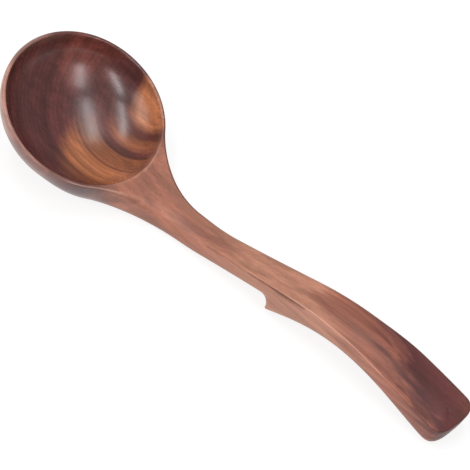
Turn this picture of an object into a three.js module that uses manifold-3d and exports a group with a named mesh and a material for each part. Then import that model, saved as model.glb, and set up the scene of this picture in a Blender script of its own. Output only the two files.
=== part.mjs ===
// Wooden soup spoon with a round bowl, carved from one billet.
// Millimetres, +Z up, resting on the table; X runs from the bowl to the end of the handle.
import * as THREE from 'three';
import { LoftGeometry } from 'three/addons/geometries/LoftGeometry.js';
import { mergeGeometries, mergeVertices } from 'three/addons/utils/BufferGeometryUtils.js';
import Module from 'manifold-3d';

// Bowl
const BOWL_DIAMETER = 73.6;
const BOWL_DEPTH = 24.8;
const BOWL_FLOOR = 4.5;
const LIP_THICKNESS = 1.8;
const LIP_ROUND = 0.8;

// Neck, where the handle leaves the bowl
const NECK_WIDTH = 13;
const NECK_THICKNESS = 10.2;
const NECK_FLARE_RADIUS = 50;
const NECK_ROUND = 2.6;

// Line of the handle seen from the side
const LEVEL_RUN = 8.5;
const LOWER_BEND_RADIUS = 66;
const RISE_ANGLE = 28.8;
const RISE_LENGTH = 51;
const UPPER_BEND_RADIUS = 114.5;
const GRIP_ANGLE = 3.7;
const GRIP_LENGTH = 35.2;

// Grip
const GRIP_WIDTH = 24.4;
const GRIP_THICKNESS = 10.3;
const END_THICKNESS = 13.2;
const END_ROUND = 8;
const GRIP_ROUND = 0.8;
const TOP_CROWN = 0.8;

// Hook under the handle that catches on the rim of a pot
const HOOK_SETBACK = 77.3;
const HOOK_DROP = 10.5;
const HOOK_THROAT = 7;
const HOOK_HEEL = 52;

// Carved crease below the edge of the handle, deepest over the hook
const CREASE_DEPTH = 0.7;
const CREASE_LEAD = 34;
const CREASE_RUNOUT = 11;

// Sanded spot under the bowl that keeps the spoon from rolling
const REST_FLAT_DEPTH = 0.3;

// How square the sides are: 2 is an ellipse, more is boxier
const BOWL_SQUARENESS = 2;
const HANDLE_SQUARENESS = 5;

const radians = THREE.MathUtils.degToRad;
const lerp = THREE.MathUtils.lerp;
const smooth = THREE.MathUtils.smoothstep;

// Stations along X, measured from the centre of the bowl
const bowlRadius = BOWL_DIAMETER / 2;
const hollowRadius = bowlRadius - LIP_THICKNESS;
const lipRadius = hollowRadius + LIP_ROUND;
const neckHalf = NECK_WIDTH / 2;
const flareReach = bowlRadius + NECK_FLARE_RADIUS;
const neckX = Math.sqrt(flareReach ** 2 - (neckHalf + NECK_FLARE_RADIUS) ** 2);
const flareStart = Math.atan2(neckHalf + NECK_FLARE_RADIUS, neckX);
const flareX = bowlRadius * Math.cos(flareStart);
const heelFrom = 0.22 * bowlRadius;
const heelTo = neckX + neckHalf;
const levelX = bowlRadius + LEVEL_RUN;
const riseX = levelX + LOWER_BEND_RADIUS * Math.sin(radians(RISE_ANGLE));
const upperX = riseX + RISE_LENGTH * Math.cos(radians(RISE_ANGLE));
const upperRun = UPPER_BEND_RADIUS * (Math.sin(radians(RISE_ANGLE)) - Math.sin(radians(GRIP_ANGLE)));
const gripX = upperX + upperRun;
const endX = gripX + GRIP_LENGTH;
const endCentreX = endX - END_ROUND;
const hookX = bowlRadius + HOOK_SETBACK;

// Height of the handle's top edge: level, bend up, straight rise, bend back, nearly level grip
function topEdge(x) {
  const rise = radians(RISE_ANGLE);
  const lower = THREE.MathUtils.clamp(x, levelX, riseX) - levelX;
  let z = LOWER_BEND_RADIUS - Math.sqrt(LOWER_BEND_RADIUS ** 2 - lower ** 2);
  z += (THREE.MathUtils.clamp(x, riseX, upperX) - riseX) * Math.tan(rise);
  const upper = THREE.MathUtils.clamp(x, upperX, gripX) - upperX;
  const slope = Math.asin(Math.sin(rise) - upper / UPPER_BEND_RADIUS);
  z += UPPER_BEND_RADIUS * (Math.cos(slope) - Math.cos(rise));
  return z + Math.max(x - gripX, 0) * Math.tan(radians(GRIP_ANGLE));
}

// Half width of the plan outline: bowl, flare into the neck, widening handle
function halfWidth(x) {
  if (x <= flareX) return Math.sqrt(bowlRadius ** 2 - x ** 2);
  if (x >= neckX) return lerp(neckHalf, GRIP_WIDTH / 2, smooth(x, neckX, endCentreX));
  return neckHalf + NECK_FLARE_RADIUS - Math.sqrt(NECK_FLARE_RADIUS ** 2 - (neckX - x) ** 2);
}

// Drop of the hook below the underside: a short hollow face and a longer heel
function hookDrop(x) {
  const throat = (x - hookX + HOOK_THROAT) / HOOK_THROAT;
  const heel = (hookX + HOOK_HEEL - x) / HOOK_HEEL;
  const share = x < hookX ? Math.max(throat, 0) ** 2.2 : Math.max(heel, 0) ** 2.4;
  return HOOK_DROP * share;
}

// Height of the keel line: the bowl's ellipse, a long heel, the underside of the handle
function keel(x) {
  if (x <= heelFrom) return -BOWL_DEPTH * Math.sqrt(1 - (x / bowlRadius) ** 2);
  if (x >= heelTo) {
    const middle = lerp(NECK_THICKNESS, GRIP_THICKNESS, smooth(x, heelTo, gripX));
    const thickness = lerp(middle, END_THICKNESS, smooth(x, gripX, endX));
    return topEdge(x) - thickness - hookDrop(x);
  }
  const from = keel(heelFrom);
  const to = topEdge(heelTo) - NECK_THICKNESS;
  const span = heelTo - heelFrom;
  const slopeFrom = (BOWL_DEPTH / bowlRadius) ** 2 * heelFrom / -from;
  const slopeTo = (topEdge(heelTo + 0.1) - topEdge(heelTo)) / 0.1;
  const t = (x - heelFrom) / span;
  const a = 2 * t ** 3 - 3 * t ** 2 + 1;
  const b = t ** 3 - 2 * t ** 2 + t;
  const c = t ** 3 - t ** 2;
  return a * from + b * span * slopeFrom + (1 - a) * to + c * span * slopeTo;
}

// Squareness of the section at a station: an ellipse at the bowl, boxier along the handle
function squareness(x) {
  return lerp(BOWL_SQUARENESS, HANDLE_SQUARENESS, smooth(x, heelFrom, neckX));
}

// Depth of the carved crease at a station of the handle
function creaseDepth(x) {
  const lead = smooth(x, hookX - CREASE_LEAD, hookX);
  const runout = 1 - smooth(x, hookX + 2, hookX + 2 + CREASE_RUNOUT);
  return CREASE_DEPTH * lead * runout;
}

// One column of the outline: its edge point, and the spine station it closes on
function column(x, y, spine, blend, lipAngle) {
  const edge = new THREE.Vector2(x, y);
  const out = edge.clone().sub(new THREE.Vector2(spine, 0)).normalize();
  const round = blend < 1 ? lerp(LIP_ROUND, NECK_ROUND, smooth(blend, 0, 0.85))
    : lerp(NECK_ROUND, GRIP_ROUND, smooth(x, neckX, hookX - CREASE_LEAD * 0.75));
  return { edge, out, spine, blend, lipAngle, round, top: topEdge(x) };
}

// Spine station that a share of the way along the flare closes on
function flareSpine(along) {
  return lerp(flareX, neckX, along) * (1 - (1 - along) ** 3);
}

// Share of the way along the flare whose spine station is at x
function flareAlongOf(x) {
  let from = 0;
  let to = 1;
  for (let i = 0; i < 50; i += 1) {
    const middle = (from + to) / 2;
    if (flareSpine(middle) < x) from = middle;
    else to = middle;
  }
  return to;
}

// Column on the flare, an arc that touches the bowl's rim and the side of the neck
function flareColumn(along) {
  const x = lerp(flareX, neckX, along);
  const spine = flareSpine(along);
  const lipAngle = spine < lipRadius - 1e-6 ? flareStart * (1 - spine / lipRadius) : 0;
  return column(x, halfWidth(x), spine, along, lipAngle);
}

// Columns of the right-hand outline from the front of the bowl to the end of the handle
function rightColumns() {
  const columns = [];
  const bowlSteps = 27;
  for (let i = 0; i < bowlSteps; i += 1) {
    const angle = lerp(Math.PI, flareStart, i / bowlSteps);
    const y = i === 0 ? 0 : bowlRadius * Math.sin(angle);
    columns.push(column(bowlRadius * Math.cos(angle), y, 0, 0, angle));
  }
  const backOfLip = flareAlongOf(lipRadius);
  for (let i = 0; i < 7; i += 1) columns.push(flareColumn(lerp(0, backOfLip, i / 7)));
  for (let i = 0; i < 9; i += 1) columns.push(flareColumn(lerp(backOfLip, 1, i / 9)));
  const stations = [];
  for (let i = 0; i < 32; i += 1) stations.push(lerp(neckX, endCentreX, i / 32));
  for (let i = -6; i <= 4; i += 1) stations.push(hookX + i * HOOK_THROAT / 6);
  stations.sort((a, b) => a - b);
  const kept = stations.filter((x, i) => i === 0 || x - stations[i - 1] > 0.45);
  for (const x of kept) columns.push(column(x, halfWidth(x), x, 1, 0));
  const endSteps = 9;
  for (let i = 0; i <= endSteps; i += 1) {
    const angle = lerp(Math.PI / 2, 0, i / endSteps);
    const x = endCentreX + END_ROUND * Math.cos(angle) ** (2 / 3);
    const y = i === endSteps ? 0 : GRIP_WIDTH / 2 * Math.sin(angle) ** (2 / 3);
    columns.push(column(x, y, endCentreX, 1, 0));
  }
  return columns;
}

// Points of one column on the inside of the bowl, from the bottom up and over the lip
function hollowPoints(col) {
  const points = [];
  const place = (radius, z) => points.push(
    new THREE.Vector3(radius * Math.cos(col.lipAngle), radius * Math.sin(col.lipAngle), z));
  const depth = BOWL_DEPTH - BOWL_FLOOR - LIP_ROUND;
  for (let i = 0; i <= 10; i += 1) {
    const angle = radians(9 * i);
    place(hollowRadius * Math.sin(angle), -LIP_ROUND - depth * Math.cos(angle));
  }
  for (let i = 1; i <= 3; i += 1) {
    const angle = radians(180 - 30 * i);
    place(lipRadius + LIP_ROUND * Math.cos(angle), LIP_ROUND * (Math.sin(angle) - 1));
  }
  return points;
}

// Height of the outside at a plan position, from the section through the spoon at that station
function sideHeight(x, y, power) {
  const across = Math.min(y / halfWidth(x), 1);
  return keel(x) + (topEdge(x) - keel(x)) * (1 - (1 - across ** power) ** (1 / power));
}

// Points of one column on the outside: across the top, round the edge, down the side to the keel
function bodyPoints(col) {
  const points = [];
  const lip = new THREE.Vector2(lipRadius * Math.cos(col.lipAngle), lipRadius * Math.sin(col.lipAngle));
  const inner = col.spine > lipRadius ? new THREE.Vector2(col.spine, 0) : lip;
  const crown = TOP_CROWN * smooth(col.spine, lipRadius, neckX);
  const middle = inner.x > lipRadius ? topEdge(inner.x) + crown : 0;
  const brow = col.edge.clone().addScaledVector(col.out, -col.round);
  for (const t of [0, 0.4, 0.75, 1]) {
    const at = inner.clone().lerp(brow, t);
    points.push(new THREE.Vector3(at.x, at.y, lerp(middle, col.top, t * t)));
  }
  for (const degrees of [30, 60]) {
    const angle = radians(degrees);
    const at = brow.clone().addScaledVector(col.out, col.round * Math.sin(angle));
    points.push(new THREE.Vector3(at.x, at.y, col.top - col.round * (1 - Math.cos(angle))));
  }
  const spine = new THREE.Vector2(col.spine, 0);
  const edgePower = squareness(col.edge.x);
  const drop = col.round / (col.top - keel(col.spine));
  const first = Math.atan2(drop, (1 - drop ** edgePower) ** (1 / edgePower));
  for (const share of [0, 0.06, 0.15, 0.28, 0.4, 0.5, 0.6, 0.72, 0.85, 1]) {
    const angle = lerp(first, Math.PI / 2, share);
    const c = share === 1 ? 0 : Math.cos(angle);
    const s = Math.sin(angle);
    const reach = (c ** edgePower + s ** edgePower) ** (-1 / edgePower);
    const at = spine.clone().lerp(col.edge, reach * c);
    const z = col.edge.x > 0 && col.spine < endCentreX ? sideHeight(at.x, at.y, squareness(at.x))
      : col.top - (col.top - keel(col.spine)) * reach * s;
    if (share === 0) at.addScaledVector(col.out, -creaseDepth(col.edge.x));
    points.push(new THREE.Vector3(at.x, at.y, z));
  }
  return points;
}

// Loft closed rings through right-hand columns and their mirror images
function ringLoft(columns) {
  const mirrored = columns.slice(1, -1).reverse().map((col) => col.map(
    (p) => new THREE.Vector3(p.x, -p.y, p.z)));
  const around = columns.concat(mirrored);
  const rings = around[0].map((_, ring) => around.map((col) => col[ring]));
  return new LoftGeometry(rings);
}

// Weld coincident points and leave out the triangles that collapse
function weld(geometry) {
  const bare = new THREE.BufferGeometry();
  bare.setAttribute('position', geometry.attributes.position);
  bare.setIndex(geometry.index);
  const welded = mergeVertices(bare, 1e-4);
  const index = welded.index.array;
  const kept = [];
  for (let i = 0; i < index.length; i += 3) {
    const [a, b, c] = index.slice(i, i + 3);
    if (a !== b && b !== c && c !== a) kept.push(a, b, c);
  }
  welded.setIndex(kept);
  return welded;
}

const wasm = await Module();
wasm.setup();

function solid(geometry) {
  const welded = weld(geometry);
  return new wasm.Manifold(new wasm.Mesh({
    numProp: 3,
    vertProperties: Float32Array.from(welded.attributes.position.array),
    triVerts: Uint32Array.from(welded.index.array),
  }));
}

function geometryOf(manifold) {
  const mesh = manifold.getMesh();
  const geometry = new THREE.BufferGeometry();
  geometry.setAttribute('position', new THREE.Float32BufferAttribute(mesh.vertProperties, 3));
  geometry.setIndex(Array.from(mesh.triVerts));
  geometry.computeVertexNormals();
  return geometry;
}

// Lowest height of the bowl or of the handle when the spoon is tilted back by an angle
function lowest(geometry, tilt, onBowl) {
  const position = geometry.attributes.position;
  let low = Infinity;
  for (let i = 0; i < position.count; i += 1) {
    const x = position.getX(i);
    if (x < neckX !== onBowl) continue;
    low = Math.min(low, position.getZ(i) * Math.cos(tilt) - x * Math.sin(tilt));
  }
  return low;
}

// Tilt at which the sanded spot and the handle are level
function restTilt(geometry) {
  let level = 0;
  let steep = Math.PI / 3;
  for (let i = 0; i < 50; i += 1) {
    const tilt = (level + steep) / 2;
    const gap = lowest(geometry, tilt, false) - lowest(geometry, tilt, true) - REST_FLAT_DEPTH;
    if (gap > 0) level = tilt;
    else steep = tilt;
  }
  return level;
}

// Carve the spoon in the frame of the rim, then lay it on the table and sand the spot
const outline = rightColumns();
const lipBack = outline.findIndex((col) => col.lipAngle === 0);
const hollow = ringLoft(outline.slice(0, lipBack + 1).map(hollowPoints));
const body = ringLoft(outline.map(bodyPoints));
const carved = weld(mergeGeometries([weld(hollow), weld(body)]));

const tilt = restTilt(carved);
carved.rotateY(tilt);
const floor = lowest(carved, 0, true) + REST_FLAT_DEPTH;
carved.translate(0, 0, -floor);

const sander = new THREE.BoxGeometry(2 * heelTo, BOWL_DIAMETER, 4 * REST_FLAT_DEPTH);
sander.translate(0, 0, -2 * REST_FLAT_DEPTH);
const spoon = geometryOf(solid(carved).subtract(solid(sander)));

// Put the origin at the middle of the sanded spot
const position = spoon.attributes.position;
let spotFrom = Infinity;
let spotTo = -Infinity;
for (let i = 0; i < position.count; i += 1) {
  if (Math.abs(position.getZ(i)) > 1e-3 || position.getX(i) > heelTo) continue;
  spotFrom = Math.min(spotFrom, position.getX(i));
  spotTo = Math.max(spotTo, position.getX(i));
}
spoon.translate(-(spotFrom + spotTo) / 2, 0, 0);

const oiledWood = new THREE.MeshStandardMaterial({ name: 'oiled_wood', color: 0x8a5546, roughness: 0.5 });
const carvedSpoon = new THREE.Mesh(spoon, oiledWood);
carvedSpoon.name = 'carved_spoon';

const wooden_soup_spoon = new THREE.Group();
wooden_soup_spoon.name = 'wooden_soup_spoon';
wooden_soup_spoon.add(carvedSpoon);

export default wooden_soup_spoon;
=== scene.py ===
# Wooden soup spoon, carved from one billet and oiled. Metres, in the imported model's frame.
import math

import bmesh
import bpy
from mathutils import Matrix, Vector


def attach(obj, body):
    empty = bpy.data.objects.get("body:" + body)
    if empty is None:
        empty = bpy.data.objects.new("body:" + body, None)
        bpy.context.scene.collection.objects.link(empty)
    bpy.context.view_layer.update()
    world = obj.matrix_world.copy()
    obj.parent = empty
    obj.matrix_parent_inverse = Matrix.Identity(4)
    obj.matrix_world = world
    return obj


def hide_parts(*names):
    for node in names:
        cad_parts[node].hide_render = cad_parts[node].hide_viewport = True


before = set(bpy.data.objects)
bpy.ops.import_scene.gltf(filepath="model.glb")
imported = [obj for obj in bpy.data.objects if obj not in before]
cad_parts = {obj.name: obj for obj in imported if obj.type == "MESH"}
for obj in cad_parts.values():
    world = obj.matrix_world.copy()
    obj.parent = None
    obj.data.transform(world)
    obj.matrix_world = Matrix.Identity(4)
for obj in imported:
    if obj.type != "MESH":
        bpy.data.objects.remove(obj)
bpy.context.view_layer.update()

bl_info = {
    "name": "Wooden soup spoon",
    "version": (1, 0, 0),
    "blender": (4, 5, 0),
    "location": "View3D > Sidebar > Soup Spoon",
    "description": "Carves an oiled wooden soup spoon and sets it on a pale studio floor",
    "category": "Add Mesh",
}

# How the carved spoon lies on the table: tilted back on the heel of its bowl, as in the CAD
REST_TILT = math.radians(17.92598)
REST_DROP = 0.0279773
REST_SHIFT = 0.0360750

# Grain of the billet. In the bowl the growth rings bend round a point above the far wall, where a
# side branch grew; the two directions, in the frame of the rim, lie across and along the heartwood
RING_CENTRE = Vector((-0.0231, 0.0230, 0.0259))
ACROSS_HEART = Vector((0.335, 0.887, -0.32))
ALONG_HEART = Vector((0.942, -0.315, 0.114))
# In the handle the layers lie flatter: this is across them, in the frame of the table
ACROSS_HANDLE = Vector((0.426, 0.746, 0.512))
# Bands of the rings that the bowl cuts: metres from the centre of the rings, and the share of heartwood,
# or in the gold bands of sapwood, in the orange wood
RING_SPAN = (0.014, 0.048)
INNER_BANDS = [
    (0.0140, 0.95), (0.0168, 0.90), (0.0178, 0.50), (0.0195, 0.35), (0.0208, 0.55), (0.0217, 0.90),
    (0.0236, 0.95), (0.0246, 0.30), (0.0265, 0.15), (0.0293, 0.20), (0.0300, 0.70), (0.0307, 0.10)]
GOLD_BANDS = [(0.0325, 0.35), (0.0350, 0.55), (0.0375, 0.45)]
OUTER_BANDS = [(0.0390, 0.15), (0.0402, 0.60), (0.0415, 0.40), (0.0435, 0.80), (0.0475, 1.00)]
# Metres across the layers that the handle cuts
LAYER_SPAN = (0.0, 0.09)
# Half axes of the ellipsoid in the middle of the bowl's wall, which parts inside from outside
WALL_MIDDLE = (0.0359, 0.0359, 0.0225)


def lerp(a, b, t):
    """The value a share of the way from a to b."""
    return a + (b - a) * t


def smooth(x, low, high):
    """Smooth step from 0 at low to 1 at high."""
    t = min(max((x - low) / (high - low), 0.0), 1.0)
    return t * t * (3.0 - 2.0 * t)


def linear(code):
    """Linear colour of an sRGB hex value."""
    parts = [int(code[i:i + 2], 16) / 255.0 for i in (1, 3, 5)]
    return [c / 12.92 if c <= 0.04045 else ((c + 0.055) / 1.055) ** 2.4 for c in parts]


def turned(direction):
    """A direction in the frame of the rim, turned to the spoon's lie on the table."""
    c = math.cos(REST_TILT)
    s = math.sin(REST_TILT)
    x, y, z = direction
    return Vector((x * c + z * s, y, z * c - x * s))


def laid(point):
    """A point in the frame of the rim, laid on the table."""
    at = turned(point)
    return Vector((at.x - REST_SHIFT, at.y, at.z + REST_DROP))


# Sizes and colours a user would change

def length(name, default, description):
    return bpy.props.FloatProperty(
        name=name, default=default, description=description, unit="LENGTH", subtype="DISTANCE", precision=4)


def angle(name, degrees, description):
    return bpy.props.FloatProperty(
        name=name, default=math.radians(degrees), description=description, unit="ROTATION", subtype="ANGLE")


def colour(name, code, description):
    return bpy.props.FloatVectorProperty(
        name=name, default=linear(code), description=description, subtype="COLOR", min=0.0, max=1.0, size=3)


class SpoonSizes(bpy.types.PropertyGroup):
    """Sizes of the carved spoon: the CAD's, apart from the neck's edges and the start of the crease."""

    bowl_diameter: length("Bowl diameter", 0.0736, "Across the outside of the rim")
    bowl_depth: length("Bowl depth", 0.0248, "Rim to the lowest point outside")
    bowl_floor: length("Bowl floor", 0.0045, "Wood left under the hollow")
    lip_thickness: length("Lip thickness", 0.0018, "Wall at the rim")
    lip_round: length("Lip round", 0.0008, "Rounding of the rim")
    neck_width: length("Neck width", 0.0130, "Narrowest part of the handle")
    neck_thickness: length("Neck thickness", 0.0102, "Top to underside at the neck")
    neck_flare_radius: length("Flare radius", 0.050, "Arc from the rim into the neck")
    neck_round: length("Neck edge", 0.0052, "Rounding of the neck's near edge")
    far_round: length("Far edge", 0.0034, "Rounding of the far edge of the rise")
    level_run: length("Level run", 0.0085, "Level stretch behind the rim")
    lower_bend_radius: length("Lower bend", 0.066, "Bend where the handle starts to rise")
    rise_angle: angle("Rise", 28.8, "Slope of the middle of the handle against the rim")
    rise_length: length("Rise length", 0.051, "Straight stretch of the rise")
    upper_bend_radius: length("Upper bend", 0.1145, "Bend where the handle levels out")
    grip_angle: angle("Grip slope", 3.7, "Slope of the grip against the rim")
    grip_length: length("Grip length", 0.0352, "Straight grip to the end")
    grip_width: length("Grip width", 0.0244, "Across the grip")
    grip_thickness: length("Grip thickness", 0.0103, "Top to underside where the grip starts")
    end_thickness: length("End thickness", 0.0132, "Top to underside at the end")
    end_round: length("End round", 0.0080, "Depth of the rounded end")
    grip_round: length("Grip edge", 0.0008, "Rounding of the grip's ridge")
    top_crown: length("Crown", 0.0008, "Rise of the top between its edges")
    hook_setback: length("Hook setback", 0.0773, "Back of the rim to the tip of the hook")
    hook_drop: length("Hook drop", 0.0105, "Tip of the hook below the underside")
    hook_throat: length("Hook throat", 0.0070, "Hollow face that meets the pot")
    hook_heel: length("Hook heel", 0.052, "Slope behind the tip")
    crease_depth: length("Crease depth", 0.0007, "Deepest cut of the crease")
    crease_lead: length("Crease lead", 0.037, "Crease before the hook")
    crease_runout: length("Crease run-out", 0.011, "Crease after the hook")


class WoodLook(bpy.types.PropertyGroup):
    """Colours of the oiled wood."""

    heartwood: colour("Heartwood", "#5a2f2d", "Dark wood in the front of the bowl")
    ruddy_wood: colour("Ruddy wood", "#743b34", "Redder heartwood at the far front of the bowl")
    ring_wood: colour("Ring wood", "#a5633f", "Orange growth rings in the back of the bowl")
    sapwood: colour("Sapwood", "#c97f57", "Palest wood, at the far wall of the bowl")
    wall_wood: colour("Wall wood", "#b98070", "Outside of the bowl at the near side")
    handle_wood: colour("Handle wood", "#b47c65", "Neck and handle")
    brown_wood: colour("Brown wood", "#9b5e4b", "Upper bend of the handle")
    grip_wood: colour("Grip wood", "#5b2b2b", "End of the grip")
    # Colour of painted shade in the crease, along the far edges, on the grip's near edge and under the near
    # lip
    painted_shade: colour("Crease", "#551e17", "Old oil in the carved crease")
    ring_width: length("Ring width", 0.0016, "One growth ring")
    streak_width: length("Streak width", 0.0045, "One darker or paler streak along the handle")
    fibre_width: length("Fibre width", 0.0009, "One bundle of fibres across the grain")


class StageLook(bpy.types.PropertyGroup):
    """The studio floor."""

    floor_colour: colour("Floor", "#f4f3f2", "Pale studio floor")
    floor_width: length("Floor width", 9.2, "Edge of the square floor")


# Form of the spoon, in the frame of its rim: X from the bowl to the end, Z up, rim at Z 0

# Where the heel leaves the ellipse of the bowl, as a share of the bowl's radius
HEEL_START = 0.22
# Power of the cross-section: 2 is an ellipse, 5 is boxy
BOWL_SQUARENESS = 2.0
HANDLE_SQUARENESS = 5.0
# Curves of the hook before and behind its tip, the cuts whose mean rounds the tip, and its lean to the bowl
THROAT_POWER = 2.2
HEEL_POWER = 2.4
TIP_CUTS = (-0.0006, -0.0003, 0.0, 0.0003, 0.0006)
HOOK_LEAN = 0.0024
# The crease keeps its depth this far behind the tip. Its groove is cut into the first points of the side,
# and the power makes the painted shade in it show before it is deep
CREASE_HOLD = 0.002
GROOVE = (1.0, 0.45)
SHADE_POWER = 0.15
# Steps of the mesh round the bowl, along the flare before and behind the back of the lip, along the handle,
# round its end, up the hollow, over the lip and round the edge
BOWL_STEPS = 64
FLARE_STEPS = (14, 18)
HANDLE_STEPS = 96
END_STEPS = 16
HOLLOW_STEPS = 24
LIP_STEPS = 5
EDGE_STEPS = 8
EDGE_STEP_DEGREES = 9
NEAREST_STATIONS = 0.00018
# Places of the points from the middle of the top to the edge, and from the edge down to the keel
TOP_SHARES = (0.0, 0.125, 0.25, 0.375, 0.5, 0.625, 0.75, 0.875, 0.96, 1.0)
SIDE_SHARES = [0.0, 0.03, 0.06, 0.1] + [lerp(0.14, 1.0, i / 22) for i in range(23)]
# Painted highlight at each step round the edge, on the ridge behind the hook and where the near wall meets
# the neck
RIDGE_HIGHLIGHT = (0.0, 0.0, 0.0, 0.3, 1.0, 1.0, 0.3, 0.0)
NECK_GLINT = (0.0, 0.3, 1.0, 1.0, 1.0, 0.5, 0.0, 0.0)


class SpoonForm:
    """Stations and curves of the carved spoon."""

    def __init__(self, sizes):
        self.s = sizes
        self.radius = sizes.bowl_diameter / 2
        self.hollow = self.radius - sizes.lip_thickness
        self.lip = self.hollow + sizes.lip_round
        self.neck_half = sizes.neck_width / 2
        reach = self.radius + sizes.neck_flare_radius
        side = self.neck_half + sizes.neck_flare_radius
        self.neck_x = math.sqrt(reach ** 2 - side ** 2)
        self.flare_start = math.atan2(side, self.neck_x)
        self.flare_x = self.radius * math.cos(self.flare_start)
        self.heel_from = HEEL_START * self.radius
        self.heel_to = self.neck_x + self.neck_half
        self.level_x = self.radius + sizes.level_run
        self.rise_x = self.level_x + sizes.lower_bend_radius * math.sin(sizes.rise_angle)
        self.upper_x = self.rise_x + sizes.rise_length * math.cos(sizes.rise_angle)
        run = math.sin(sizes.rise_angle) - math.sin(sizes.grip_angle)
        self.grip_x = self.upper_x + sizes.upper_bend_radius * run
        self.end_x = self.grip_x + sizes.grip_length
        self.end_centre = self.end_x - sizes.end_round
        self.hook_x = self.radius + sizes.hook_setback

    def top_edge(self, x):
        """Height of the top edge: level, bend up, straight rise, bend back, grip."""
        s = self.s
        lower = min(max(x, self.level_x), self.rise_x) - self.level_x
        z = s.lower_bend_radius - math.sqrt(s.lower_bend_radius ** 2 - lower ** 2)
        z += (min(max(x, self.rise_x), self.upper_x) - self.rise_x) * math.tan(s.rise_angle)
        upper = min(max(x, self.upper_x), self.grip_x) - self.upper_x
        slope = math.asin(math.sin(s.rise_angle) - upper / s.upper_bend_radius)
        z += s.upper_bend_radius * (math.cos(slope) - math.cos(s.rise_angle))
        return z + max(x - self.grip_x, 0.0) * math.tan(s.grip_angle)

    def half_width(self, x):
        """Half width in plan: bowl, flare into the neck, widening handle."""
        if x <= self.flare_x:
            return math.sqrt(max(self.radius ** 2 - x ** 2, 0.0))
        if x >= self.neck_x:
            return lerp(self.neck_half, self.s.grip_width / 2, smooth(x, self.neck_x, self.end_centre))
        flare = self.s.neck_flare_radius
        return self.neck_half + flare - math.sqrt(flare ** 2 - (self.neck_x - x) ** 2)

    def hook(self, x):
        """Drop of the hook below the underside."""
        s = self.s
        each = 1.0 / len(TIP_CUTS) * s.hook_drop
        drop = 0.0
        for step in TIP_CUTS:
            at = x + step - self.hook_x
            if at < 0.0:
                drop += each * max((at + s.hook_throat) / s.hook_throat, 0.0) ** THROAT_POWER
            else:
                drop += each * max((s.hook_heel - at) / s.hook_heel, 0.0) ** HEEL_POWER
        return drop

    def keel(self, x):
        """Height of the keel: the bowl's ellipse, a long heel, the underside of the handle."""
        s = self.s
        if x <= self.heel_from:
            return -s.bowl_depth * math.sqrt(max(1.0 - (x / self.radius) ** 2, 0.0))
        if x >= self.heel_to:
            middle = lerp(s.neck_thickness, s.grip_thickness, smooth(x, self.heel_to, self.grip_x))
            thick = lerp(middle, s.end_thickness, smooth(x, self.grip_x, self.end_x))
            return self.top_edge(x) - thick - self.hook(x)
        low = self.keel(self.heel_from)
        high = self.top_edge(self.heel_to) - s.neck_thickness
        span = self.heel_to - self.heel_from
        slope_low = (s.bowl_depth / self.radius) ** 2 * self.heel_from / -low
        slope_high = (self.top_edge(self.heel_to + 1e-4) - self.top_edge(self.heel_to)) / 1e-4
        t = (x - self.heel_from) / span
        a = 2 * t ** 3 - 3 * t ** 2 + 1
        b = t ** 3 - 2 * t ** 2 + t
        c = t ** 3 - t ** 2
        return a * low + b * span * slope_low + (1 - a) * high + c * span * slope_high

    def squareness(self, x):
        """Power of the section at a station."""
        return lerp(BOWL_SQUARENESS, HANDLE_SQUARENESS, smooth(x, self.heel_from, self.neck_x))

    def side_height(self, x, y):
        """Height of the outside at a plan position, from the section at that station."""
        power = self.squareness(x)
        across = min(y / self.half_width(x), 1.0)
        drop = (1.0 - across ** power) ** (1.0 / power)
        return self.keel(x) + (self.top_edge(x) - self.keel(x)) * (1.0 - drop)

    def crease(self, x):
        """Share of the crease's depth at a station."""
        lead = smooth(x, self.hook_x - self.s.crease_lead, self.hook_x)
        fade = self.hook_x + CREASE_HOLD
        return lead * (1.0 - smooth(x, fade, fade + self.s.crease_runout))

    def flare_spine(self, along):
        """Spine station on which a share of the way along the flare closes."""
        return lerp(self.flare_x, self.neck_x, along) * (1.0 - (1.0 - along) ** 3)

    def flare_along(self, spine):
        """Share of the way along the flare that closes on a spine station."""
        low, high = 0.0, 1.0
        for _ in range(50):
            middle = (low + high) / 2
            if self.flare_spine(middle) < spine:
                low = middle
            else:
                high = middle
        return high

    def column(self, x, y, spine, blend, lip_angle, far):
        """One column of the outline, with the spine station that it closes on."""
        s = self.s
        if blend < 1.0:
            rounding = lerp(s.lip_round, s.neck_round, smooth(blend, 0.0, 0.85))
        else:
            ridge_x = self.hook_x - 0.7 * s.crease_lead
            rounding = lerp(s.neck_round, s.grip_round, smooth(x, self.neck_x, ridge_x))
        edge = Vector((x, y))
        across = edge - Vector((spine, 0.0))
        # The crown is lower where the flat of the top is narrow
        crown = s.top_crown * smooth((across.length - rounding) / s.grip_width, 0.0, 0.45)
        # The far edge is crisp at the flare and at the grip, and softer along the rise
        if far:
            softer = smooth(x, self.neck_x, self.neck_x + 0.018)
            softer *= 1.0 - smooth(x, self.grip_x - 0.022, self.grip_x + 0.006)
            rounding = lerp(s.grip_round, s.far_round, softer)
        out = across.normalized()
        return {"edge": edge, "out": out, "brow": edge - out * rounding, "round": rounding, "crown": crown,
                "top": self.top_edge(x), "spine": spine, "blend": blend, "lip_angle": lip_angle, "far": far}

    def columns(self, far):
        """Columns of the near or far half, from the front of the bowl to the end of the handle."""
        found = []
        for i in range(BOWL_STEPS):
            turn = lerp(math.pi, self.flare_start, i / BOWL_STEPS)
            y = self.radius * math.sin(turn) if i else 0.0
            found.append(self.column(self.radius * math.cos(turn), y, 0.0, 0.0, turn, far))
        back = self.flare_along(self.lip)
        before, behind = FLARE_STEPS
        shares = [lerp(0.0, back, i / before) for i in range(before)]
        shares += [lerp(back, 1.0, i / behind) for i in range(behind)]
        for along in shares:
            x = lerp(self.flare_x, self.neck_x, along)
            spine = self.flare_spine(along)
            turn = self.flare_start * (1.0 - spine / self.lip) if spine < self.lip - 1e-9 else 0.0
            found.append(self.column(x, self.half_width(x), spine, along, turn, far))
        stations = [lerp(self.neck_x, self.end_centre, i / HANDLE_STEPS) for i in range(HANDLE_STEPS)]
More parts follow.
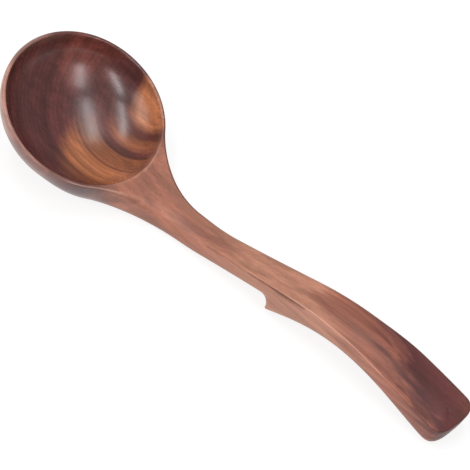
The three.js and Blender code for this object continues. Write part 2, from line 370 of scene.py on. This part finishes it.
        # The hook has closer stations
        stations += [self.hook_x + i * self.s.hook_throat / 14 for i in range(-15, 12)]
        stations.sort()
        kept = [x for i, x in enumerate(stations) if i == 0 or x - stations[i - 1] > NEAREST_STATIONS]
        for x in kept:
            found.append(self.column(x, self.half_width(x), x, 1.0, 0.0, far))
        for i in range(END_STEPS + 1):
            turn = lerp(math.pi / 2, 0.0, i / END_STEPS)
            x = self.end_centre + self.s.end_round * max(math.cos(turn), 0.0) ** (2 / 3)
            y = self.s.grip_width / 2 * math.sin(turn) ** (2 / 3) if i < END_STEPS else 0.0
            found.append(self.column(x, y, self.end_centre, 1.0, 0.0, far))
        return found

    def far_shade(self, col):
        """Share of painted shade on the far lip and the far edge of the neck."""
        if not col["far"]:
            return 0.0
        return 0.8 * smooth(math.pi - col["lip_angle"], 0.25, 0.9)

    def front_lip_sheen(self, col):
        """Share of painted sheen on the lip at the front."""
        return smooth(col["lip_angle"], 2.6, 2.95) if col["far"] else smooth(col["lip_angle"], 2.35, 2.7)

    def hollow_points(self, col):
        """Points up the inside of the bowl and over the lip, each with its wear with painted highlight and
        sheen, and its painted shade.
        """
        s = self.s
        across = Vector((math.cos(col["lip_angle"]), math.sin(col["lip_angle"])))
        depth = s.bowl_depth - s.bowl_floor - s.lip_round
        # The lip gets the most painted highlight where it meets the neck
        glint_and_wear = 1.0 - smooth(col["lip_angle"], 0.15, 0.75)
        far_shade = self.far_shade(col) * smooth(col["lip_angle"], 0.3, 0.8)
        points = []
        for i in range(HOLLOW_STEPS + 1):
            turn = math.radians(90 / HOLLOW_STEPS * i)
            r = self.hollow * math.sin(turn)
            z = -s.lip_round - depth * math.cos(turn)
            # Painted light at the top of the inner wall lifts the shade under the lip
            worn_and_lit = 0.3 * smooth(i, HOLLOW_STEPS - 4, HOLLOW_STEPS) * (1.0 - far_shade)
            points.append((across.x * r, across.y * r, z, worn_and_lit, 0.0))
        for i in range(1, LIP_STEPS + 1):
            turn = math.radians(180 - 90 / LIP_STEPS * i)
            r = self.lip + s.lip_round * math.cos(turn)
            z = s.lip_round * (math.sin(turn) - 1.0)
            # Over the lip: wear with painted highlight, painted sheen at the front and painted shade at the
            # far side
            worn_and_lit = (0.03 * i + (0.28 * glint_and_wear if i > 2 else 0.0)) * (1.0 - far_shade)
            worn_and_lit = max(worn_and_lit, 0.12 * i * self.front_lip_sheen(col))
            points.append((across.x * r, across.y * r, z, worn_and_lit, 0.15 * i * far_shade))
        return points

    def edge_marks(self, col):
        """Wear with painted highlights and sheen, and painted shade of a column, and the place and width of
        the crease in steps down the edge.
        """
        x = col["edge"].x
        near = 0.0 if col["far"] else 1.0
        far_shade = self.far_shade(col) * (1.0 - smooth(x, self.neck_x - 0.006, self.neck_x + 0.010))
        ridge = smooth(x, self.hook_x - 0.004, self.hook_x + 0.016)
        ridge *= 1.0 - smooth(x, self.grip_x - 0.010, self.grip_x + 0.015)
        # Where the near wall turns into the neck, a painted highlight runs along the edge above a painted
        # shadow line under the lip
        turned_in = near * smooth(x, self.flare_x - 0.012, self.flare_x - 0.006)
        return {
            "far_shade": far_shade,
            "ridge": ridge,
            "on_lip": (1.0 - smooth(col["blend"], 0.0, 0.35)) * (1.0 - far_shade),
            "front_sheen": 0.6 * self.front_lip_sheen(col),
            "glint_and_wear": 0.8 * turned_in * (1.0 - smooth(x, self.flare_x + 0.006, self.flare_x + 0.014)),
            "undercut_shadow": 0.75 * turned_in * (1.0 - smooth(x, self.flare_x, self.flare_x + 0.008)),
            # The near edge of the grip has a thin dark line of painted shade
            "grip_edge_shade": near * 0.6 * smooth(x, self.grip_x - 0.004, self.grip_x + 0.012),
            # From the rounded edge of the neck the crease runs down to the side, and widens to the hook,
            # with painted shade in it
            "cut": near * self.crease(x),
            "line": lerp(5.0, 9.2, smooth(x, self.hook_x - 0.030, self.hook_x - 0.012)),
            "wide": lerp(1.6, 2.4, smooth(x, self.hook_x - 0.020, self.hook_x)),
        }

    def crease_shade(self, marks, step):
        """Share of the painted shade in the crease at a step down the edge and the side."""
        return marks["cut"] ** SHADE_POWER * max(1.0 - abs(step - marks["line"]) / marks["wide"], 0.0)

    def top_points(self, col, marks):
        """Points across the top, from the lip or the middle of the handle to the edge."""
        turn = col["lip_angle"]
        if col["spine"] > self.lip:
            inner = Vector((col["spine"], 0.0))
            middle = self.top_edge(inner.x) + col["crown"] * smooth(col["spine"], self.lip, self.neck_x)
        else:
            inner = Vector((self.lip * math.cos(turn), self.lip * math.sin(turn)))
            middle = 0.0
        # The lip's wear with painted highlight, painted sheen at the front, and painted shade on the far
        # edge
        worn_and_lit = max(0.15 * marks["on_lip"], marks["front_sheen"])
        points = []
        for share in TOP_SHARES:
            at = inner.lerp(col["brow"], share)
            z = lerp(middle, col["top"], smooth(share, 0.0, 1.0))
            points.append((at.x, at.y, z, worn_and_lit, 0.9 * marks["far_shade"] if share == 1.0 else 0.0))
        return points

    def edge_points(self, col, marks):
        """Points round the rounded edge."""
        points = []
        for i in range(1, EDGE_STEPS + 1):
            turn = math.radians(EDGE_STEP_DEGREES * i)
            at = col["brow"] + col["out"] * (col["round"] * math.sin(turn))
            z = col["top"] - col["round"] * (1.0 - math.cos(turn))
            # Wear with painted highlights on the lip, the ridge and the near edge of the neck; painted
            # sheen at the front
            worn_and_lit = max(0.15 * marks["on_lip"], marks["front_sheen"])
            worn_and_lit = max(worn_and_lit, marks["ridge"] * RIDGE_HIGHLIGHT[i - 1], marks["glint_and_wear"] * NECK_GLINT[i - 1])
            # Painted shade: far edge, crease, near edge of the grip, under the near lip
            dark = max(marks["far_shade"], self.crease_shade(marks, i))
            dark = max(dark, marks["grip_edge_shade"] if 4 < i < 8 else 0.0, marks["undercut_shadow"] if i > 7 else 0.0)
            points.append((at.x, at.y, z, worn_and_lit, dark))
        return points

    def side_points(self, col, marks):
        """Points down the side to the keel, with the groove of the crease at the head of the side."""
        s = self.s
        x = col["edge"].x
        spine = Vector((col["spine"], 0.0))
        tall = col["top"] - self.keel(col["spine"])
        # The thorn of the hook leans towards the bowl
        lean = HOOK_LEAN * (self.hook(x) / s.hook_drop) ** 3
        power = self.squareness(x)
        drop = col["round"] / tall
        first = math.atan2(drop, (1.0 - drop ** power) ** (1.0 / power))
        by_section = x > 0.0 and col["spine"] < self.end_centre
        points = []
        for i, share in enumerate(SIDE_SHARES):
            turn = lerp(first, math.pi / 2, share)
            c = math.cos(turn) if share < 1.0 else 0.0
            reach = (c ** power + math.sin(turn) ** power) ** (-1.0 / power)
            at = spine.lerp(col["edge"], reach * c)
            if by_section:
                z = self.side_height(at.x, at.y)
            else:
                z = col["top"] - tall * reach * math.sin(turn)
            if i < len(GROOVE):
                at = at - col["out"] * (s.crease_depth * marks["cut"] * GROOVE[i])
            # Wear with painted highlight at the head of the side; painted shade in the crease and under the
            # near lip
            worn_and_lit = 0.1 * marks["on_lip"] if i == 0 else 0.0
            dark = max(self.crease_shade(marks, i + EDGE_STEPS + 1), marks["undercut_shadow"] * max(1.0 - 8.0 * share, 0.0))
            points.append((at.x - lean * share, at.y, z, worn_and_lit, dark))
        return points

    def body_points(self, col):
        """Points across the top, round the edge and down the side to the keel."""
        marks = self.edge_marks(col)
        return self.top_points(col, marks) + self.edge_points(col, marks) + self.side_points(col, marks)


# Carving with bmesh: a ring is extruded along the form, then the poles and the keel are welded

def extrude_rings(bm, far_half, near_half):
    """Extrude a closed ring through the points of the far columns and of the near ones."""
    # One layer holds wear with painted highlights and sheen, the crease layer holds painted shade
    wear_and_highlight = bm.verts.layers.float["wear_and_highlight"]
    crease = bm.verts.layers.float["crease"]
    around = [(col, 1.0) for col in far_half]
    around += [(col, -1.0) for col in reversed(near_half[1:-1])]
    ring = bmesh.ops.create_circle(bm, segments=len(around), radius=0.01)["verts"]
    for step in range(len(far_half[0])):
        if step:
            edges = [bm.edges.get((ring[k - 1], ring[k])) for k in range(len(ring))]
            grown = bmesh.ops.extrude_edge_only(bm, edges=edges)["geom"]
            fresh = {g for g in grown if isinstance(g, bmesh.types.BMVert)}
            ring = [next(e.other_vert(v) for e in v.link_edges if e.other_vert(v) in fresh) for v in ring]
        for vert, (col, side) in zip(ring, around):
            x, y, z, worn_and_lit, cut = col[step]
            vert.co = laid((x, y * side, z))
            vert[wear_and_highlight] = worn_and_lit
            vert[crease] = cut


def carve_spoon(sizes):
    """Mesh of the whole spoon: hollow, lip, top, edges, sides, hook and keel."""
    form = SpoonForm(sizes)
    halves = (form.columns(far=True), form.columns(far=False))
    back = next(i for i, col in enumerate(halves[0]) if col["lip_angle"] == 0.0)
    bm = bmesh.new()
    # Layers for wear with painted highlights and sheen, and for painted shade
    bm.verts.layers.float.new("wear_and_highlight")
    bm.verts.layers.float.new("crease")
    extrude_rings(bm, *[[form.hollow_points(col) for col in half[:back + 1]] for half in halves])
    extrude_rings(bm, *[[form.body_points(col) for col in half] for half in halves])
    bmesh.ops.remove_doubles(bm, verts=bm.verts[:], dist=2e-6)
    bmesh.ops.dissolve_degenerate(bm, dist=1e-7, edges=bm.edges[:])
    # The spot under the heel is sanded flat, level with the table
    for vert in bm.verts:
        if vert.co.z < 0.0 and vert.co.x < 0.05:
            vert.co.z = 0.0
    bmesh.ops.recalc_face_normals(bm, faces=bm.faces[:])
    for face in bm.faces:
        face.smooth = True
    mesh = bpy.data.meshes.new("carved_spoon_wood")
    bm.to_mesh(mesh)
    bm.free()
    return mesh


# Materials

def add(tree, kind, inputs=None, **settings):
    """Add a node with its settings; an input is a value or another node's output."""
    made = tree.nodes.new(kind)
    for key, value in settings.items():
        setattr(made, key, value)
    for key, value in (inputs or {}).items():
        if isinstance(value, bpy.types.NodeSocket):
            tree.links.new(value, made.inputs[key])
        else:
            made.inputs[key].default_value = value
    return made


def reckon(tree, operation, *values):
    """Output of a math node on numbers and other nodes' outputs."""
    return add(tree, "ShaderNodeMath", dict(enumerate(values)), operation=operation).outputs[0]


def mixed(a, b, share):
    """The colour a share of the way from a to b."""
    return tuple(lerp(p, q, share) for p, q in zip(a, b))


def empty_material(name):
    """A material that has no nodes yet."""
    made = bpy.data.materials.new(name)
    made.use_nodes = True
    made.node_tree.nodes.clear()
    return made


class WoodNodes:
    """Nodes of the wood. A reading is a place in the billet along some line, in metres."""

    def __init__(self, tree):
        self.tree = tree
        self.place = add(tree, "ShaderNodeTexCoord").outputs["Object"]
        # Slow waves of the layers, about 40 mm across and 110 mm along the grain, and small ripples
        long_way = self.mapped({"Scale": (0.35, 1.0, 1.0)})
        self.drift = self.noise(long_way, 25.0, 2.0)
        self.ripple = self.noise(long_way, 180.0, 4.0)

    def mapped(self, inputs, kind="POINT"):
        """The place in the billet, moved, turned and scaled."""
        made = add(self.tree, "ShaderNodeMapping", {"Vector": self.place, **inputs}, vector_type=kind)
        return made.outputs[0]

    def noise(self, at, scale, detail, roughness=0.5):
        """Cloudy noise at a place, from 0 to 1."""
        made = add(self.tree, "ShaderNodeTexNoise", {
            "Vector": at, "Scale": scale, "Detail": detail, "Roughness": roughness})
        return made.outputs[0]

    def waved(self, reading, slow_wave, quick_wave):
        """A reading with the waves of the layers."""
        slow = reckon(self.tree, "MULTIPLY_ADD", self.drift, slow_wave, reading)
        quick = reckon(self.tree, "MULTIPLY_ADD", self.ripple, quick_wave, slow)
        return reckon(self.tree, "ADD", quick, -0.5 * (slow_wave + quick_wave))

    def across(self, direction, centre):
        """Distance from a point of the billet along a direction."""
        far = add(self.tree, "ShaderNodeVectorMath", {0: self.place, 1: direction}, operation="DOT_PRODUCT")
        return reckon(self.tree, "ADD", far.outputs["Value"], -Vector(centre).dot(direction))

    def part(self, reading, low, high, least=0.0, most=1.0):
        """Smooth step of a reading between two places."""
        step = add(self.tree, "ShaderNodeMapRange", {
            "Value": reading, "From Min": low, "From Max": high, "To Min": least, "To Max": most},
            interpolation_type="SMOOTHSTEP")
        return step.outputs[0]

    def product(self, a, b):
        return reckon(self.tree, "MULTIPLY", a, b)

    def blend(self, share, a, b):
        """Mix of two colours, each a tuple or another node's output."""
        both = [c if isinstance(c, bpy.types.NodeSocket) else (*c, 1.0) for c in (a, b)]
        made = add(self.tree, "ShaderNodeMix", {"Factor": share, 6: both[0], 7: both[1]}, data_type="RGBA")
        return made.outputs[2]

    def ramp(self, reading, span, marks):
        """Colours along the span of a reading, from marks of a place and a colour."""
        low, high = span
        share = add(self.tree, "ShaderNodeMapRange", {"Value": reading, "From Min": low, "From Max": high})
        made = add(self.tree, "ShaderNodeValToRGB", {"Fac": share.outputs[0]})
        line = made.color_ramp
        line.interpolation = "EASE"
        while len(line.elements) < len(marks):
            line.elements.new(1.0)
        for element, (place, shade) in zip(line.elements, marks):
            element.position = (place - low) / (high - low)
            element.color = (*shade, 1.0)
        return made.outputs[0]


def bowl_wood(nodes, look, depth, wall):
    """Colour of the bowl, by the depth of the rings and the side of the wall."""
    heart = tuple(look.heartwood)
    ring = tuple(look.ring_wood)
    sap = tuple(look.sapwood)
    outside = tuple(look.wall_wood)
    rim = laid((0.0, 0.0, 0.0))
    aside = nodes.waved(nodes.across(turned(ACROSS_HEART), rim), 0.004, 0.002)
    back = nodes.waved(nodes.across(turned(ALONG_HEART), rim), 0.004, 0.003)
    border = nodes.waved(nodes.across(turned(ALONG_HEART - 0.35 * ACROSS_HEART), rim), 0.006, 0.004)
    # The back of the bowl cuts the rings: orange wood with dark bands and one thin dark line
    marks = [(at, mixed(ring, heart, shade)) for at, shade in INNER_BANDS]
    marks += [(at, mixed(ring, sap, shade)) for at, shade in GOLD_BANDS]
    marks += [(at, mixed(ring, heart, shade)) for at, shade in OUTER_BANDS]
    rings = nodes.ramp(depth, RING_SPAN, marks)
    # The front of the bowl is heartwood, redder at its far side
    ruddy = nodes.product(nodes.part(aside, 0.002, 0.016), nodes.part(back, -0.012, -0.026))
    front = nodes.blend(ruddy, heart, tuple(look.ruddy_wood))
    # The outer rings are dark further back than the inner ones
    outer = reckon(nodes.tree, "MAXIMUM", depth, 0.031)
    turning = reckon(nodes.tree, "MULTIPLY_ADD", outer, -1.6, border)
    hollow = nodes.blend(nodes.part(turning, -0.0646, -0.0476), front, rings)
    # The inside of the far wall has a patch of sapwood
    patch = nodes.product(nodes.part(depth, 0.0160, 0.0124), nodes.part(wall, 1.03, 0.99))
    patched = nodes.blend(patch, hollow, sap)
    # Outside, the near wall is as pale as the handle, and browner towards the heel
    shell = nodes.product(nodes.part(aside, -0.019, -0.027), nodes.part(back, -0.008, 0.008, 1.0, 0.35))
    sided = nodes.blend(nodes.product(shell, nodes.part(wall, 0.965, 0.995)), patched, outside)
    # The underside is a middle brown
    low = nodes.part(nodes.across(turned((0.0, 0.0, 1.0)), rim), -0.007, -0.018, 0.0, 0.7)
    under = nodes.product(nodes.part(wall, 1.0, 1.06), low)
    return nodes.blend(under, sided, mixed(outside, heart, 0.5))


def handle_wood(nodes, look, streak):
    """Colour of the handle: pale, a little redder at the neck, and dark in the end of the grip."""
    pale = tuple(look.handle_wood)
    brown = tuple(look.brown_wood)
    dark = tuple(look.grip_wood)
    layer = nodes.waved(nodes.across(ACROSS_HANDLE, (0.0, 0.0, 0.0215)), 0.008, 0.006)
    grip = reckon(nodes.tree, "MULTIPLY_ADD", streak, 0.022, layer)
    return nodes.ramp(grip, LAYER_SPAN, [
        (0.012, mixed(pale, brown, 0.7)), (0.022, mixed(pale, brown, 0.4)), (0.031, pale), (0.049, pale),
        (0.054, mixed(pale, brown, 0.6)), (0.059, brown), (0.063, mixed(brown, dark, 0.08)),
        (0.066, mixed(brown, dark, 0.25)), (0.070, mixed(brown, dark, 0.72)), (0.074, dark),
        (0.079, mixed(dark, brown, 0.06)), (0.085, mixed(dark, brown, 0.16))])


def neck_streak(nodes):
    """Share of the grey streak along the top of the neck."""
    axes = add(nodes.tree, "ShaderNodeSeparateXYZ", {0: nodes.place}).outputs
    beside = reckon(nodes.tree, "ADD", nodes.waved(axes["Y"], 0.003, 0.002), 0.0019)
    off = reckon(nodes.tree, "ABSOLUTE", beside)
    stretch = nodes.product(nodes.part(axes["X"], 0.014, 0.030), nodes.part(axes["X"], 0.060, 0.042))
    return nodes.product(nodes.part(off, 0.0032, 0.0008, 0.0, 0.85), stretch)


def ring_tone(nodes, look, depth, join):
    """Tone of the growth rings, which end where the handle begins."""
    tree = nodes.tree
    # Late wood: one darker line for each ring
    turn = reckon(tree, "FRACT", reckon(tree, "DIVIDE", depth, look.ring_width))
    line = add(tree, "ShaderNodeMapRange", {
        "Value": turn, "From Min": 0.3, "From Max": 1.0, "To Min": 1.04, "To Max": 0.88})
    # Groups of rings, some 5 mm together, are darker or paler
    group = add(tree, "ShaderNodeTexNoise", {"W": depth, "Scale": 1.0 / 0.005, "Detail": 1.5},
                noise_dimensions="1D")
    ringed = nodes.product(line.outputs[0], nodes.part(group.outputs[0], 0.3, 0.7, 0.84, 1.18))
    return add(tree, "ShaderNodeMix", {"Factor": join, 2: ringed, 3: 1.0}).outputs[0]


def oiled_hardwood(look):
    """Oiled hardwood, scooped, scraped and sanded: growth rings cut into arcs by the bowl,
    a pale handle and a dark grip from the layers of one billet, fine pores, a satin sheen."""
    made = empty_material("oiled_hardwood")
    tree = made.node_tree
    nodes = WoodNodes(tree)
    bend = add(tree, "ShaderNodeVectorMath", {0: nodes.place, 1: RING_CENTRE}, operation="DISTANCE")
    depth = nodes.waved(bend.outputs["Value"], 0.0016, 0.0008)
    # A reading that is 1 in the middle of the bowl's wall, less inside and more outside
    shell = nodes.mapped({"Location": laid((0.0, 0.0, 0.0)), "Rotation": (0.0, REST_TILT, 0.0),
                          "Scale": WALL_MIDDLE}, "TEXTURE")
    wall = add(tree, "ShaderNodeVectorMath", {0: shell}, operation="LENGTH").outputs["Value"]
    # Streaks along the billet, each some 75 mm long
    streaky = nodes.mapped({
        "Location": (14.7, 27.3, 44.1), "Rotation": (0.0, 0.12, -0.05),
        "Scale": (1.0 / 0.075, 1.0 / look.streak_width, 1.0 / look.streak_width)})
    streak = nodes.noise(streaky, 1.0, 3.0)
    # A reading that is 0 in the bowl and 1 in the handle
    along = add(tree, "ShaderNodeSeparateXYZ", {0: nodes.place}).outputs["X"]
    join = nodes.part(nodes.waved(along, 0.010, 0.006), -0.013, 0.001)
    body = nodes.blend(join, bowl_wood(nodes, look, depth, wall), handle_wood(nodes, look, streak))
    grey = mixed(tuple(look.heartwood), tuple(look.handle_wood), 0.35)
    wood = nodes.blend(neck_streak(nodes), body, grey)

    # Fibres, drawn about twice as coarse as real ones so that they show
    fine = 1.0 / look.fibre_width
    stretched = nodes.mapped({"Rotation": (0.0, 0.05, 0.06), "Scale": (0.045 * fine, fine, fine)})
    fibre = nodes.noise(stretched, 1.0, 5.0, 0.62)
    fibres = nodes.part(fibre, 0.3, 0.7, 0.86, 1.12)
    # Pores: short dark dashes, 0.25 mm wide and some 3 mm long
    dashes = nodes.mapped({"Scale": (330.0, 3600.0, 3600.0)})
    pores = nodes.part(nodes.noise(dashes, 1.0, 1.0), 0.62, 0.75, 1.0, 0.72)
    coarse = nodes.product(ring_tone(nodes, look, depth, join), nodes.part(streak, 0.3, 0.7, 1.20, 0.76))
    tone = nodes.product(coarse, nodes.product(fibres, pores))
    grained = add(tree, "ShaderNodeVectorMath", {0: wood, "Scale": tone}, operation="SCALE").outputs[0]

    # Edges pale with wear, painted highlights and painted sheen; painted shade in the crease, along the far
    # edges, on the grip's near edge and under the near lip
    worn_and_lit = add(tree, "ShaderNodeAttribute", attribute_name="wear_and_highlight").outputs["Fac"]
    glint_and_wear = mixed(tuple(look.sapwood), (1.0, 1.0, 1.0), 0.25)
    edged = nodes.blend(nodes.product(worn_and_lit, 0.55), grained, glint_and_wear)
    # The crease layer is painted shade: in the crease, along the far edges, on the grip's near edge and
    # under the near lip
    cut = add(tree, "ShaderNodeAttribute", attribute_name="crease").outputs["Fac"]
    finish = nodes.blend(cut, edged, tuple(look.painted_shade))
    # The hollow is scraped smoother than the outside, and the handle is the roughest
    scraped = nodes.product(nodes.part(wall, 1.03, 0.99, 0.62, 1.0), nodes.part(join, 1.0, 0.0))
    rough = reckon(tree, "MULTIPLY_ADD", fibre, 0.13, 0.19)
    sheen = reckon(tree, "MULTIPLY_ADD", nodes.part(scraped, 1.0, 0.0), 0.22, rough)
    # A film of oil shines in the hollow, less outside, and is rubbed off the handle
    film = nodes.part(scraped, 0.0, 1.0, 0.04, 0.35)
    height = reckon(tree, "ADD", pores, fibres)
    bump = add(tree, "ShaderNodeBump", {"Height": height, "Strength": 0.12, "Distance": 0.0003})
    shader = add(tree, "ShaderNodeBsdfPrincipled", {
        "Base Color": finish, "Roughness": sheen, "Normal": bump.outputs[0],
        "IOR": 1.5, "Specular IOR Level": 0.5, "Coat Weight": film, "Coat Roughness": 0.2})
    add(tree, "ShaderNodeOutputMaterial", {"Surface": shader.outputs[0]})
    return made


def seen_ray(tree):
    """1 for a ray from the camera, a glossy or a see-through surface, and 0 for light."""
    ray = add(tree, "ShaderNodeLightPath").outputs
    sharp = reckon(tree, "MAXIMUM", ray["Is Glossy Ray"], ray["Is Transmission Ray"])
    return reckon(tree, "MAXIMUM", ray["Is Camera Ray"], sharp)


def studio_floor(look):
    """Matt white floor that is seen nearly white, with the spoon's soft shadow."""
    made = empty_material("studio_floor")
    tree = made.node_tree
    matt = add(tree, "ShaderNodeBsdfDiffuse", {"Color": (*look.floor_colour, 1.0)})
    glow = add(tree, "ShaderNodeEmission", {"Color": (1.0, 1.0, 1.0, 1.0), "Strength": 1.1})
    share = reckon(tree, "MULTIPLY", seen_ray(tree), 0.75)
    both = add(tree, "ShaderNodeMixShader", {0: share, 1: matt.outputs[0], 2: glow.outputs[0]})
    add(tree, "ShaderNodeOutputMaterial", {"Surface": both.outputs[0]})
    return made


# Operators

class SOUPSPOON_OT_carve(bpy.types.Operator):
    """Carve the spoon and oil its wood"""

    bl_idname = "soupspoon.carve"
    bl_label = "Carve the spoon"

    def execute(self, context):
        mesh = carve_spoon(context.scene.spoon_sizes)
        spoon = bpy.data.objects.new("carved_spoon_finished", mesh)
        context.scene.collection.objects.link(spoon)
        mesh.materials.append(oiled_hardwood(context.scene.spoon_wood))
        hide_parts("carved_spoon")
        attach(spoon, "root")
        return {"FINISHED"}


class SOUPSPOON_OT_stage(bpy.types.Operator):
    """Lay the floor, hang the softboxes and set the camera"""

    bl_idname = "soupspoon.stage"
    bl_label = "Set the stage"

    def execute(self, context):
        scene = context.scene
        scene.view_settings.view_transform = "Standard"
        look = scene.spoon_stage
        bm = bmesh.new()
        bmesh.ops.create_grid(bm, x_segments=1, y_segments=1, size=look.floor_width / 2)
        sheet = bpy.data.meshes.new("studio_floor")
        bm.to_mesh(sheet)
        bm.free()
        sheet.materials.append(studio_floor(look))
        floor = bpy.data.objects.new("studio_floor", sheet)
        scene.collection.objects.link(floor)
        self.light(scene)
        self.camera(scene)
        return {"FINISHED"}

    def light(self, scene):
        world = bpy.data.worlds.new("white_studio")
        scene.world = world
        world.use_nodes = True
        sky = world.node_tree.nodes["Background"]
        sky.inputs["Color"].default_value = (1.0, 1.0, 1.0, 1.0)
        sky.inputs["Strength"].default_value = 0.32
        target = laid((0.0, 0.0, 0.0))
        # Two rows of two softboxes, which the hollow mirrors as upright streaks, and a low front fill. Each
        # has a direction from the bowl, a distance, a width, a height and a power. All are turned to one
        # lengthwise direction. The directions are against the rim
        lengthwise = Vector((0.76, -0.63, -0.2))
        boxes = [
            ("back_row_right", (0.452, -0.194, 0.871), 0.9, 0.10, 0.50, 1.6),
            ("back_row_left", (-0.17, 0.225, 0.96), 0.9, 0.10, 0.58, 1.7),
            ("front_row_right", (-0.016, -0.723, 0.690), 0.9, 0.12, 0.50, 1.8),
            ("front_row_left", (-0.52, -0.20, 0.83), 0.9, 0.10, 0.58, 1.8),
            ("front_fill", (-0.70, -0.65, 0.30), 1.2, 0.8, 0.8, 3.6),
        ]
        for name, direction, far, wide, tall, power in boxes:
            lamp = bpy.data.lights.new(name, "AREA")
            lamp.shape = "RECTANGLE"
            lamp.size = wide
            lamp.size_y = tall
            lamp.energy = power
            holder = bpy.data.objects.new(name, lamp)
            towards = Vector(direction).normalized()
            side = lengthwise.cross(towards).normalized()
            axes = (turned(side), turned(towards.cross(side)), turned(towards))
            turn = Matrix(axes).transposed().to_4x4()
            holder.matrix_world = Matrix.Translation(target + axes[2] * far) @ turn
            scene.collection.objects.link(holder)

    def camera(self, scene):
        # Direction to the lens, against the rim of the bowl, and the roll, middle and width of the frame
        aside = math.radians(8.514)
        above = math.radians(54.293)
        roll = math.radians(41.032)
        middle_along = 0.08174
        middle_over = 0.00164
        frame_width = 0.19576
        along = Vector((math.cos(aside), math.sin(aside), 0.0))
        over = Vector((
            -math.sin(aside) * math.sin(above), math.cos(aside) * math.sin(above), math.cos(above)))
        back = along.cross(over)
        right = along * math.cos(roll) + over * math.sin(roll)
        up = over * math.cos(roll) - along * math.sin(roll)
        centre = along * middle_along + over * middle_over
        lens = bpy.data.cameras.new("studio_camera")
        lens.lens = 1100.0
        lens.sensor_width = 36.0
        eye = bpy.data.objects.new("studio_camera", lens)
        far = frame_width * lens.lens / lens.sensor_width
        turn = Matrix((turned(right), turned(up), turned(back))).transposed()
        eye.matrix_world = Matrix.Translation(laid(centre + back * far)) @ turn.to_4x4()
        scene.collection.objects.link(eye)
        scene.camera = eye


class SOUPSPOON_PT_panel(bpy.types.Panel):
    """Sizes, colours and steps of the spoon"""

    bl_idname = "SOUPSPOON_PT_panel"
    bl_label = "Soup Spoon"
    bl_space_type = "VIEW_3D"
    bl_region_type = "UI"
    bl_category = "Soup Spoon"

    def draw(self, context):
        for group in (context.scene.spoon_sizes, context.scene.spoon_wood, context.scene.spoon_stage):
            box = self.layout.box()
            for key in group.__annotations__:
                box.prop(group, key)
        for step in OPERATORS:
            self.layout.operator(step.bl_idname)


GROUPS = {"spoon_sizes": SpoonSizes, "spoon_wood": WoodLook, "spoon_stage": StageLook}
OPERATORS = (SOUPSPOON_OT_carve, SOUPSPOON_OT_stage)


def register():
    for key, group in GROUPS.items():
        bpy.utils.register_class(group)
        setattr(bpy.types.Scene, key, bpy.props.PointerProperty(type=group))
    for step in OPERATORS:
        bpy.utils.register_class(step)
    bpy.utils.register_class(SOUPSPOON_PT_panel)


def unregister():
    bpy.utils.unregister_class(SOUPSPOON_PT_panel)
    for step in reversed(OPERATORS):
        bpy.utils.unregister_class(step)
    for key, group in GROUPS.items():
        delattr(bpy.types.Scene, key)
        bpy.utils.unregister_class(group)


def main():
    register()
    bpy.ops.soupspoon.carve()
    bpy.ops.soupspoon.stage()


if __name__ == "__main__":
    main()
